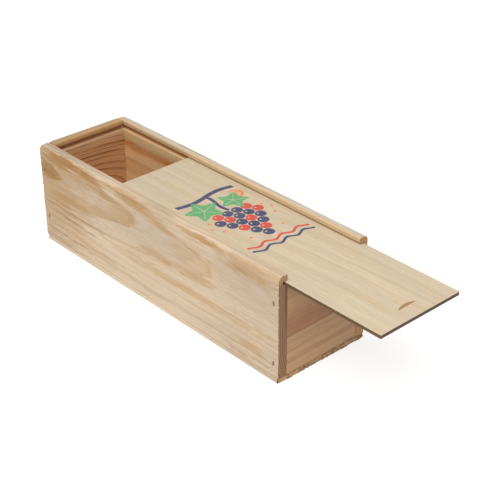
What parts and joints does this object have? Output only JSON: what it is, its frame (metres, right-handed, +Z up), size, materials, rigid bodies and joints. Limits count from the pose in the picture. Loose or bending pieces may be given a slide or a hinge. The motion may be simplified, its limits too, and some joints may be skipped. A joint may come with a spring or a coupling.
{
  "type": "wooden wine box",
  "caption": "Pine box for a bottle laid on its side, with a thin board lid that slides in grooves cut in its side boards.",
  "frame": {"origin": "centre of the underside of the box", "axes": "+X along the box to the end where the lid slides out, +Y across to the far long side, +Z up"},
  "size_m": [0.4575, 0.107, 0.108],
  "materials": {
    "pine_side": "planed pale pine with broad soft grain bands",
    "pine_end": "sawn reddish-brown pine",
    "pine_base": "sawn pine with rough ends",
    "lid_board": "sanded pale face with dark cut edges",
    "staple_wire": "dull flat steel wire"
  },
  "bodies": {
    "box": {"near_side_board": "pine_side", "far_side_board": "pine_side", "back_end_board": "pine_end", "front_end_board": "pine_end", "bottom_board": "pine_base", "near_back_staple_low": "staple_wire", "near_back_staple_high": "staple_wire", "near_front_staple_low": "staple_wire", "near_front_staple_high": "staple_wire", "far_back_staple_low": "staple_wire", "far_back_staple_high": "staple_wire", "far_front_staple_low": "staple_wire", "far_front_staple_high": "staple_wire", "base_near_staple_1": "staple_wire", "base_near_staple_2": "staple_wire", "base_near_staple_3": "staple_wire", "base_near_staple_4": "staple_wire", "base_far_staple_1": "staple_wire", "base_far_staple_2": "staple_wire", "base_far_staple_3": "staple_wire", "base_far_staple_4": "staple_wire", "base_back_staple": "staple_wire", "base_front_staple": "staple_wire"},
    "lid": {"sliding_lid": "lid_board"}
  },
  "joints": [
    {"name": "lid_slide", "type": "slide", "parent": "box", "child": "lid", "axis": [1, 0, 0], "range_m": [-0.1075, 0.2]}
  ]
}
